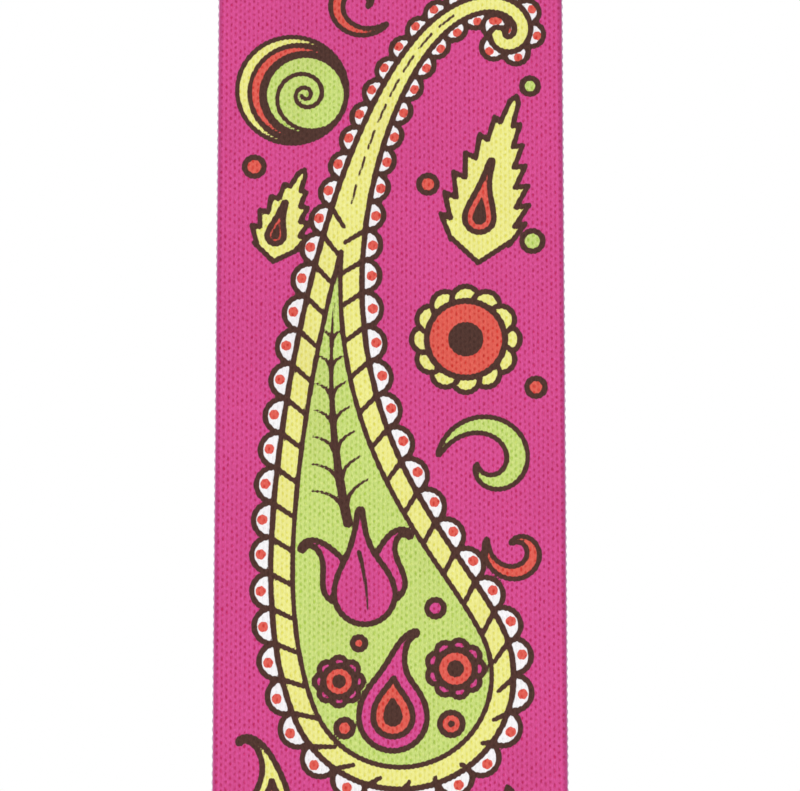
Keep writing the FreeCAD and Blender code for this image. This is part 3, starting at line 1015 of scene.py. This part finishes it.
@dataclass(frozen=True)
class Stitching:
    """A row of waxed thread stitches, each a short plump twist laid where the CAD has a block."""

    name: str
    node: str
    body: str
    rings: int = 4
    sides: int = 6
    block_points: int = 24
    blunt: float = 0.86
    twist: float = 0.9
    size: tuple[float, float, float] = (1.06, 0.9, 1.15)

    def blocks(self) -> tuple[Array, Array, Array]:
        """Measures the blocks: their middles, their axes from longest to shortest, and half sizes.

        The axes are the principal directions of each block's corners, and a half size is the
        furthest that a corner lies along its axis.

        Returns:
            Middles (n, 3), axes (n, 3, 3) in rows, and half sizes (n, 3), in metres.
        """
        mesh = bpy.data.objects[self.node].data
        corners = np.zeros(len(mesh.vertices) * 3, np.float32)
        mesh.vertices.foreach_get("co", corners)
        corners = corners.reshape(-1, self.block_points, 3).astype(float)
        middle = (corners.min(axis=1) + corners.max(axis=1)) / 2
        spread = corners - middle[:, None]
        axes = np.linalg.svd(spread, full_matrices=False)[2]
        half = np.abs(np.einsum("nkc,nac->nka", spread, axes)).max(axis=1)
        return middle, axes, half

    def template(self) -> tuple[Array, list[list[int]]]:
        """One stitch of unit half sizes: rings whose radius is the fourth root of 1 - t**4, and
        a point at each end.

        Returns:
            Its points (along, across, up) and its faces.
        """
        along = np.sin(np.linspace(-1, 1, self.rings + 2)[1:-1] * math.pi / 2 * self.blunt)
        radius = (1 - along**4) ** 0.25
        angle = np.arange(self.sides) * 2 * math.pi / self.sides
        twist = angle[None, :] + along[:, None] * self.twist
        rings = beside(
            np.broadcast_to(along[:, None], twist.shape),
            radius[:, None] * np.cos(twist),
            radius[:, None] * np.sin(twist),
        ).reshape(-1, 3)
        points = np.vstack([rings, [(-1, 0, 0), (1, 0, 0)]])
        tail, nose, n = len(rings), len(rings) + 1, self.sides
        faces = [
            [r * n + c, r * n + (c + 1) % n, (r + 1) * n + (c + 1) % n, (r + 1) * n + c]
            for r in range(self.rings - 1)
            for c in range(n)
        ]
        top = (self.rings - 1) * n
        faces += [[tail, (c + 1) % n, c] for c in range(n)]
        faces += [[nose, top + c, top + (c + 1) % n] for c in range(n)]
        return points, [face[::-1] for face in faces]

    def build(self, finish: Material) -> None:
        """Lays a stitch at every block, and ties the row to its body."""
        middle, axes, half = self.blocks()
        axes[:, 2] *= np.sign(np.linalg.det(axes))[:, None]
        points, faces = self.template()
        size = half * self.size
        placed = middle[:, None] + np.einsum("pa,na,nac->npc", points, size, axes)
        shift = np.arange(len(middle))[:, None] * len(points)
        every: list[list[int]] = []
        for face in faces:
            every += (np.array(face)[None] + shift).tolist()
        mesh = bpy.data.meshes.new(self.name)
        mesh.from_pydata(placed.reshape(-1, 3), [], every)
        mesh.validate()
        mesh.shade_smooth()
        piece = linked(self.name, mesh)
        piece.data.materials.append(finish)
        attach(piece, self.body)
        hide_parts(self.node)
        log.info("%s: %d stitches", self.name, len(middle))


# ------------------------------------------------------------------ material wiring


class Wiring:
    """Adds and joins nodes in one node tree."""

    def __init__(self, tree: Tree) -> None:
        """Keeps the tree."""
        self.tree = tree

    def node(self, kind: str, **settings: object) -> Node:
        """Adds a node and sets its properties."""
        made = self.tree.nodes.new(kind)
        for key, value in settings.items():
            setattr(made, key, value)
        return made

    def fill(self, node: Node, entries: dict[str, object] | dict[int, object]) -> Node:
        """Joins a node's inputs, named or numbered, to other sockets, or sets their values."""
        for key, value in entries.items():
            if isinstance(value, Socket):
                self.tree.links.new(value, node.inputs[key])
            else:
                node.inputs[key].default_value = value
        return node

    def listed(self, node: Node, *values: object) -> Socket:
        """Fills a node's inputs in order and gives its first output."""
        return self.fill(node, dict(enumerate(values))).outputs[0]

    def math(self, operation: str, *values: object) -> Socket:
        """The result of one sum on one to three values."""
        return self.listed(self.node("ShaderNodeMath", operation=operation), *values)

    def plus(self, first: object, second: object) -> Socket:
        """Two values added."""
        return self.math("ADD", first, second)

    def minus(self, first: object, second: object) -> Socket:
        """The first value less the second."""
        return self.math("SUBTRACT", first, second)

    def times(self, first: object, second: object) -> Socket:
        """Two values multiplied."""
        return self.math("MULTIPLY", first, second)

    def ramp(
        self, value: object, low: object, high: object, to_low: float = 0.0, to_high: float = 1.0
    ) -> Socket:
        """A smooth step from to_low at low up to to_high at high."""
        made = self.node("ShaderNodeMapRange", interpolation_type="SMOOTHSTEP")
        return self.listed(made, value, low, high, to_low, to_high)

    def mix(self, share: object, first: object, second: object, blend: str = "MIX") -> Socket:
        """A colour between two, or one laid on another."""
        made = self.node("ShaderNodeMix", data_type="RGBA", blend_type=blend)
        return self.fill(made, {0: share, 6: first, 7: second}).outputs[2]

    def noise(
        self, place: object, scale: object, detail: float = 2.0, rough: float = 0.5
    ) -> Socket:
        """Smooth noise about a half."""
        entries = {"Vector": place, "Scale": scale, "Detail": detail, "Roughness": rough}
        return self.fill(self.node("ShaderNodeTexNoise"), entries).outputs[0]

    def stretch(self, place: object, scale: tuple[float, float, float]) -> Socket:
        """A place with each of its axes scaled."""
        made = self.node("ShaderNodeMapping")
        return self.fill(made, {"Vector": place, "Scale": scale}).outputs[0]

    def split(self, place: object) -> tuple[Socket, ...]:
        """The three parts of a vector."""
        return tuple(self.fill(self.node("ShaderNodeSeparateXYZ"), {0: place}).outputs)

    def join(self, *parts: object) -> Socket:
        """A vector from three parts."""
        return self.listed(self.node("ShaderNodeCombineXYZ"), *parts)

    def place(self) -> Socket:
        """The object's own coordinates, in metres."""
        return self.node("ShaderNodeTexCoord").outputs["Object"]

    def layer(self, name: str) -> Node:
        """A layer that is stored on the mesh."""
        return self.node("ShaderNodeAttribute", attribute_name=name)

    def use(self, group: Tree, **values: object) -> Node:
        """Places a node group, with its inputs named as words."""
        return self.fill(self.node("ShaderNodeGroup", node_tree=group), values)

    def bump(self, height: object, strength: float, depth: float) -> Socket:
        """A normal bent by a height, where a height of 1 stands `depth` metres proud."""
        entries = {"Strength": strength, "Distance": depth, "Height": height}
        return self.fill(self.node("ShaderNodeBump"), entries).outputs[0]


def new_group(
    name: str, inputs: dict[str, str], outputs: dict[str, str]
) -> tuple[Tree, Wiring, Node, Node]:
    """Starts a shader node group.

    Args:
        name: The group's name.
        inputs: Its inputs, each with its socket kind.
        outputs: Its outputs, each with its socket kind.

    Returns:
        The group, its wiring, and the nodes at its start and end.
    """
    tree = bpy.data.node_groups.new(name, "ShaderNodeTree")
    for way, sockets in (("INPUT", inputs), ("OUTPUT", outputs)):
        for label, kind in sockets.items():
            tree.interface.new_socket(name=label, in_out=way, socket_type=f"NodeSocket{kind}")
    wiring = Wiring(tree)
    return tree, wiring, wiring.node("NodeGroupInput"), wiring.node("NodeGroupOutput")


def weave_group() -> Tree:
    """Builds the weave: ribs along the strip, with soft pits between them. The finish paints shade
    into the pits by Gap and a highlight on the threads by Thread.

    Each rib is an arch across its width. There is a pit between two ribs at every pick, an
    ellipse that noise makes deeper or fainter, and neighbouring rows of pits are half a pick
    apart. Noise makes the threads wander.
    """
    tree, w, start, end = new_group(
        "weave",
        {"Cloth": "Vector", "Rib": "Float", "Pick": "Float"},
        {"Height": "Float", "Gap": "Float", "Thread": "Float", "Wander": "Float"},
    )
    cloth, rib, pick = (start.outputs[key] for key in ("Cloth", "Rib", "Pick"))
    across, down, _side = w.split(cloth)
    # The ribs, counted across, and how far each place is from the nearest gap between two.
    drift = w.noise(w.stretch(cloth, (1.1, 0.7, 0.0)), 1.0, 3.0)
    drift = w.times(w.minus(drift, 0.5), 0.3)
    column = w.math("DIVIDE", w.plus(across, drift), rib)
    nearest = w.math("ROUND", column)
    off = w.minus(column, nearest)
    # The picks, counted down, half a pick apart in neighbouring gaps.
    jitter = w.noise(w.join(w.times(nearest, 7.3), w.times(down, 0.7), 0.0), 1.0, 1.0)
    row = w.plus(w.math("DIVIDE", down, pick), w.times(nearest, 0.5))
    row = w.plus(row, w.times(jitter, 0.7))
    beat = w.minus(row, w.math("ROUND", row))
    # The pits, as ellipses with ragged edges and uneven depths.
    reach_x = w.times(off, 2.5)
    reach_y = w.times(beat, 2.15)
    reach = w.math("SQRT", w.plus(w.times(reach_x, reach_x), w.times(reach_y, reach_y)))
    depth = w.ramp(w.noise(w.stretch(cloth, (0.9, 0.8, 1.0)), 1.0, 3.0, 0.7), 0.3, 0.66, 0.3, 1.0)
    ragged = w.noise(w.stretch(cloth, (3.4, 2.4, 1.0)), 1.0, 2.0)
    reach = w.plus(reach, w.times(w.minus(ragged, 0.5), 0.9))
    gap = w.times(w.ramp(reach, 1.0, 0.1), depth)
    arch = w.math("COSINE", w.times(column, 2 * math.pi))
    fibre = w.noise(w.stretch(cloth, (5.5, 2.0, 1.0)), 1.0, 3.0, 0.6)
    height = w.minus(w.times(fibre, 0.5), w.times(arch, 0.16))
    height = w.minus(height, w.times(gap, 0.75))
    # How far, in millimetres, dye strays over the edge of the print.
    bleed = w.noise(w.stretch(cloth, (2.4, 1.6, 1.0)), 1.0, 2.0)
    bleed = w.times(w.minus(bleed, 0.5), 0.14)
    wander = w.plus(w.times(arch, 0.035), bleed)
    w.fill(end, {"Height": height, "Gap": gap, "Thread": fibre, "Wander": wander})
    return tree


def grain_group() -> Tree:
    """Builds leather grain: rounded pebbles parted by creases, with pores and slow mottling."""
    tree, w, start, end = new_group(
        "leather_grain",
        {"Place": "Vector", "Pebbles": "Float"},
        {"Height": "Float", "Crease": "Float", "Mottle": "Float"},
    )
    place, size = start.outputs["Place"], start.outputs["Pebbles"]
    cloud = w.node("ShaderNodeTexNoise")
    w.fill(cloud, {"Vector": place, "Scale": w.times(size, 0.6)})
    shift = w.node("ShaderNodeVectorMath", operation="MULTIPLY_ADD")
    moved = w.listed(shift, cloud.outputs["Color"], (0.7 * MM,) * 3, place)
    cells = w.node("ShaderNodeTexVoronoi", feature="DISTANCE_TO_EDGE")
    w.fill(cells, {"Vector": moved, "Scale": size})
    crease = w.ramp(cells.outputs["Distance"], 0.0, 0.16, 1.0, 0.0)
    fine = w.noise(place, w.times(size, 3.1), 3.0, 0.6)
    pebble = w.plus(w.ramp(cells.outputs["Distance"], 0.0, 0.4), w.times(fine, 0.3))
    height = w.minus(pebble, w.times(crease, 0.4))
    mottle = w.noise(place, 70.0, 4.0, 0.6)
    w.fill(end, {"Height": height, "Crease": crease, "Mottle": mottle})
    return tree


def wear_group() -> Tree:
    """Builds wear: fine scratches one way, slow smudges and scattered dust."""
    tree, w, start, end = new_group(
        "wear", {"Place": "Vector"}, {"Scratch": "Float", "Smudge": "Float", "Dust": "Float"}
    )
    place = start.outputs["Place"]
    lines = w.noise(w.stretch(place, (120.0, 2600.0, 2600.0)), 1.0, 3.0, 0.65)
    smudge = w.noise(place, 130.0, 4.0, 0.6)
    dust = w.ramp(w.noise(place, 1900.0, 1.0), 0.68, 0.8)
    w.fill(end, {"Scratch": w.ramp(lines, 0.56, 0.72), "Smudge": smudge, "Dust": dust})
    return tree


@dataclass(frozen=True)
class Groups:
    """The node groups that the finishes share."""

    weave: Tree
    grain: Tree
    wear: Tree

    @classmethod
    def build(cls) -> "Groups":
        """Builds each group once."""
        return cls(weave_group(), grain_group(), wear_group())


def new_material(name: str) -> tuple[Material, Wiring, Node]:
    """Starts a material and gives its wiring and its surface shader."""
    material = bpy.data.materials.new(name)
    material.use_nodes = True
    wiring = Wiring(material.node_tree)
    return material, wiring, material.node_tree.nodes["Principled BSDF"]


# ------------------------------------------------------------------ finishes


@dataclass(frozen=True)
class PrintedWebbing:
    """Dye printed on polyester webbing, with the weave's ribs and gaps showing through."""

    rib: float = 0.65
    pick: float = 1.0
    width: float = 50.0
    roughness: float = 0.78
    print_softness: float = 0.07
    relief: float = 0.00022

    def material(self, groups: Groups) -> Material:
        """Builds the finish from the print that is stored on the cloth."""
        material, w, surface = new_material("printed_webbing")
        cloth = w.layer("cloth").outputs["Vector"]
        across, _down, side = w.split(cloth)
        weave = w.use(groups.weave, Cloth=cloth, Rib=self.rib, Pick=self.pick)
        wander, gap, thread = (weave.outputs[key] for key in ("Wander", "Gap", "Thread"))
        soft = self.print_softness
        ink, dots = (
            w.ramp(w.plus(w.layer(name).outputs["Fac"], wander), soft, -soft)
            for name in ("ink", "dots")
        )
        colour = w.mix(dots, w.layer("dye").outputs["Color"], Dye.ORANGE.value)
        colour = w.mix(ink, colour, Dye.INK.value)
        colour = w.mix(w.ramp(side, -0.3, 0.35), Dye.REVERSE.value, colour)
        # Painted shade: the pits get a deeper tone of their own dye, less on ink. Painted
        # highlight: the raised threads get a brighter one.
        painted_pit_shade = w.mix(1.0, colour, w.mix(0.9, (0.88, 0.88, 0.88, 1), colour), "MULTIPLY")
        shade = w.mix(w.times(gap, w.ramp(ink, 0.0, 1.0, 1.0, 0.25)), colour, painted_pit_shade)
        painted_thread_highlight = w.mix(1.0, shade, (0.7, 0.7, 0.7, 1), "OVERLAY")
        shade = w.mix(w.ramp(thread, 0.44, 0.68, 0.0, 0.9), shade, painted_thread_highlight)
        # Slow clouds of handling dirt, then the dark line and the pale fringe of each edge.
        cloud = w.noise(w.stretch(cloth, (0.11, 0.05, 0.1)), 1.0, 3.0)
        worn = w.mix(1.0, shade, (0.84, 0.76, 0.8, 1), "MULTIPLY")
        shade = w.mix(w.ramp(cloud, 0.4, 0.75, 0.0, 0.3), shade, worn)
        edge = w.math("MINIMUM", across, w.minus(self.width, across))
        rim = w.times(w.ramp(edge, 0.9, 0.35), w.ramp(edge, 0.12, 0.3))
        dark = w.mix(1.0, shade, (0.62, 0.5, 0.6, 1), "MULTIPLY")
        shade = w.mix(w.times(rim, 0.65), shade, dark)
        shade = w.mix(w.ramp(edge, 0.26, 0.02, 0.0, 0.75), shade, (0.72, 0.62, 0.8, 1))
        w.fill(surface, {
            "Base Color": shade,
            "Roughness": w.ramp(gap, 0.0, 1.0, self.roughness, 0.95),
            "Specular IOR Level": 0.28,
            "Sheen Weight": 0.12,
            "Sheen Roughness": 0.45,
            "Normal": w.bump(weave.outputs["Height"], 0.55, self.relief),
        })
        return material


@dataclass(frozen=True)
class Leather:
    """Black pebbled leather, drier and paler on its cut edges."""

    name: str
    face: Colour
    pale: Colour
    pebbles: float = 1500.0
    relief: float = 0.00016

    def material(self, groups: Groups) -> Material:
        """Builds the finish."""
        material, w, surface = new_material(self.name)
        place = w.place()
        grain = w.use(groups.grain, Place=place, Pebbles=self.pebbles)
        wear = w.use(groups.wear, Place=place)
        _x, facing, _z = w.split(w.node("ShaderNodeTexCoord").outputs["Normal"])
        cut = w.ramp(w.math("ABSOLUTE", facing), 0.8, 0.45)
        tone = w.mix(w.ramp(grain.outputs["Mottle"], 0.35, 0.7), self.face, self.pale)
        # Painted shade: the grain's creases are darkened towards black.
        tone = w.mix(w.times(grain.outputs["Crease"], 0.5), tone, (0.004, 0.0035, 0.0035, 1))
        tone = w.mix(w.times(cut, 0.7), tone, (0.05, 0.034, 0.026, 1))
        tone = w.mix(w.times(wear.outputs["Dust"], 0.2), tone, (0.3, 0.28, 0.26, 1))
        rough = w.ramp(grain.outputs["Mottle"], 0.3, 0.75, 0.42, 0.6)
        w.fill(surface, {
            "Base Color": tone,
            "Roughness": w.plus(rough, w.times(cut, 0.2)),
            "Specular IOR Level": 0.45,
            "Normal": w.bump(grain.outputs["Height"], 0.5, self.relief),
        })
        return material


@dataclass(frozen=True)
class Plate:
    """Metal with a polish, fine scratches and smudges."""

    name: str
    colour: Colour
    dull: Colour
    polish: float
    smudged: float
    scratch_depth: float = 0.000012

    def material(self, groups: Groups) -> Material:
        """Builds the finish."""
        material, w, surface = new_material(self.name)
        wear = w.use(groups.wear, Place=w.place())
        scratch, smudge = wear.outputs["Scratch"], wear.outputs["Smudge"]
        tone = w.mix(w.ramp(smudge, 0.35, 0.75), self.colour, self.dull)
        tone = w.mix(w.times(wear.outputs["Dust"], 0.2), tone, (0.2, 0.19, 0.17, 1))
        rough = w.ramp(smudge, 0.3, 0.8, self.polish, self.smudged)
        w.fill(surface, {
            "Base Color": tone,
            "Roughness": w.plus(rough, w.times(scratch, 0.14)),
            "Metallic": 1.0,
            "Normal": w.bump(scratch, 0.35, self.scratch_depth),
        })
        return material


@dataclass(frozen=True)
class Thread:
    """Dark waxed thread, with its plies showing as slanted lines."""

    ply_pitch: float = 0.00042
    relief: float = 0.00005

    def material(self, groups: Groups) -> Material:
        """Builds the finish."""
        material, w, surface = new_material("waxed_thread")
        place = w.place()
        x, y, z = w.split(place)
        slant = w.plus(w.plus(x, w.times(y, 0.8)), w.times(z, 0.9))
        ply = w.math("SINE", w.times(slant, 2 * math.pi / self.ply_pitch))
        fuzz = w.noise(place, 5200.0, 2.0)
        wear = w.use(groups.wear, Place=place)
        # Painted shade and painted highlight: the tone is darker in the grooves between plies and
        # lighter on their crowns.
        tone = w.mix(w.ramp(ply, -0.8, 0.8), (0.02, 0.017, 0.021, 1), (0.075, 0.066, 0.078, 1))
        rubbed = w.ramp(wear.outputs["Smudge"], 0.45, 0.8, 0.0, 0.35)
        w.fill(surface, {
            "Base Color": w.mix(rubbed, tone, (0.13, 0.115, 0.12, 1)),
            "Roughness": w.ramp(fuzz, 0.3, 0.7, 0.45, 0.65),
            "Sheen Weight": 0.1,
            "Normal": w.bump(w.plus(ply, fuzz), 0.4, self.relief),
        })
        return material


# ------------------------------------------------------------------ the studio


@dataclass(frozen=True)
class Studio:
    """A plain pale floor, soft lights and a camera that looks up at the front leg."""

    face: float = -23.4
    view_drop: float = 165.0
    view_side: float = 1.39
    distance: float = 0.6
    elevation: float = -11.0
    frame_width: float = 114.1
    sensor: float = 36.0
    floor_drop: float = 0.64
    floor_half: float = 12.0
    clip: tuple[float, float] = (0.01, 20.0)

    def camera(self) -> None:
        """Places the camera so that the frame is frame_width across at the printed face."""
        data = bpy.data.cameras.new("view")
        data.sensor_width = self.sensor
        data.lens = self.sensor * self.distance / (self.frame_width * MM)
        data.clip_start, data.clip_end = self.clip
        made = linked("view", data)
        slope = math.radians(self.elevation)
        made.location = (
            self.view_side * MM,
            self.face * MM - self.distance * math.cos(slope),
            -self.view_drop * MM + self.distance * math.sin(slope),
        )
        made.rotation_euler = (math.pi / 2 - slope, 0, 0)
        bpy.context.scene.camera = made

    @staticmethod
    def lamp(name: str, side: tuple[float, float, float], spread: float, strength: float) -> None:
        """Adds a soft, distant light that lights the strap and the floor evenly.

        Args:
            name: The light's name.
            side: The direction that it stands in.
            spread: How wide it looks, in degrees; a wide light gives soft shadows.
            strength: Its brightness.
        """
        data = bpy.data.lights.new(name, "SUN")
        data.angle, data.energy = math.radians(spread), strength
        made = linked(name, data)
        made.location = side
        made.rotation_euler = Vector(side).to_track_quat("Z", "Y").to_euler()

    def world(self) -> None:
        """Lights everything evenly, and shows white behind the strap."""
        world = bpy.data.worlds.new("studio")
        bpy.context.scene.world = world
        world.use_nodes = True
        w = Wiring(world.node_tree)
        sky = world.node_tree.nodes["Background"]
        seen = w.node("ShaderNodeLightPath").outputs["Is Camera Ray"]
        colour = w.mix(seen, (0.9, 0.92, 0.95, 1), (1, 1, 1, 1))
        w.fill(sky, {"Color": colour, "Strength": w.ramp(seen, 0.0, 1.0, 0.46, 1.0)})

    def floor(self) -> None:
        """Lays a large pale floor under the strap, with a faint mottling."""
        half, drop = self.floor_half, -self.floor_drop
        mesh = bpy.data.meshes.new("studio_floor")
        square = ((-half, -half), (half, -half), (half, half), (-half, half))
        mesh.from_pydata([(x, y, drop) for x, y in square], [], [[0, 1, 2, 3]])
        made = linked("studio_floor", mesh)
        material, w, surface = new_material("studio_paper")
        paper = w.mix(w.noise(w.place(), 4.0, 3.0), (0.8, 0.8, 0.8, 1), (0.86, 0.86, 0.86, 1))
        w.fill(surface, {"Base Color": paper, "Roughness": 0.9})
        made.data.materials.append(material)

    def build(self) -> None:
        """Sets up the camera, the world, the floor and the lights."""
        self.camera()
        self.world()
        self.floor()
        self.lamp("key", (-4.0, -5.2, 3.2), 20.0, 1.34)
        self.lamp("fill", (5.2, -4.6, 1.0), 26.0, 0.61)
        self.lamp("rim", (1.2, 6.2, 3.4), 26.0, 1.48)
        bpy.context.scene.view_settings.view_transform = "Standard"


# ------------------------------------------------------------------ the strap


@dataclass(frozen=True)
class Fittings:
    """The leather tabs, the ring and the slider, whose CAD shapes stay and get their finish."""

    leather: tuple[str, ...] = tuple(
        f"{tab}_{ply}" for tab in ("plain_tab", "ring_tab") for ply in ("face", "lining")
    )
    keeper: tuple[str, ...] = ("ring_strap",)
    plated: tuple[str, ...] = ("slider_frame", "rectangular_ring")
    pins: tuple[str, ...] = ("slider_bar",)

    def dress(self, nodes: dict[str, Thing], groups: Groups) -> None:
        """Gives each CAD node its finish."""
        tab = Leather("tab_leather", (0.011, 0.0095, 0.0095, 1), (0.023, 0.02, 0.0195, 1))
        loop = Leather("loop_leather", (0.013, 0.011, 0.0105, 1), (0.03, 0.026, 0.025, 1), 1250.0)
        nickel = Plate("nickel_plate", (0.66, 0.65, 0.62, 1), (0.56, 0.54, 0.5, 1), 0.14, 0.3)
        steel = Plate("satin_steel", (0.56, 0.56, 0.57, 1), (0.44, 0.44, 0.45, 1), 0.28, 0.44)
        for names, finish in (
            (self.leather, tab), (self.keeper, loop), (self.plated, nickel), (self.pins, steel),
        ):
            material = finish.material(groups)
            for name in names:
                for place in nodes[name].material_slots:
                    place.material = material
                log.info("%s: %s", name, material.name)


@dataclass(frozen=True)
class StrapStitching:
    """Every row of stitches on the strap."""

    rows: tuple[Stitching, ...] = (
        *(
            Stitching(f"{tab}_{row}_thread", f"{tab}_{row}_stitching", tab)
            for tab in ("plain_tab", "ring_tab")
            for row in ("edge", "box")
        ),
        Stitching("slider_loop_thread", "bar_loop_stitching", "slider"),
    )

    def build(self, groups: Groups) -> None:
        """Lays every row in the same thread."""
        finish = Thread().material(groups)
        for row in self.rows:
            row.build(finish)


def main() -> None:
    """Builds the strap on the frame, then the studio."""
    logging.basicConfig(level=logging.INFO, format="%(name)s %(message)s")
    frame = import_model()
    groups = Groups.build()
    Webbing().build(PrintedWebbing().material(groups))
    StrapStitching().build(groups)
    Fittings().dress(frame["nodes"], groups)
    Studio().build()


if __name__ == "__main__":
    main()
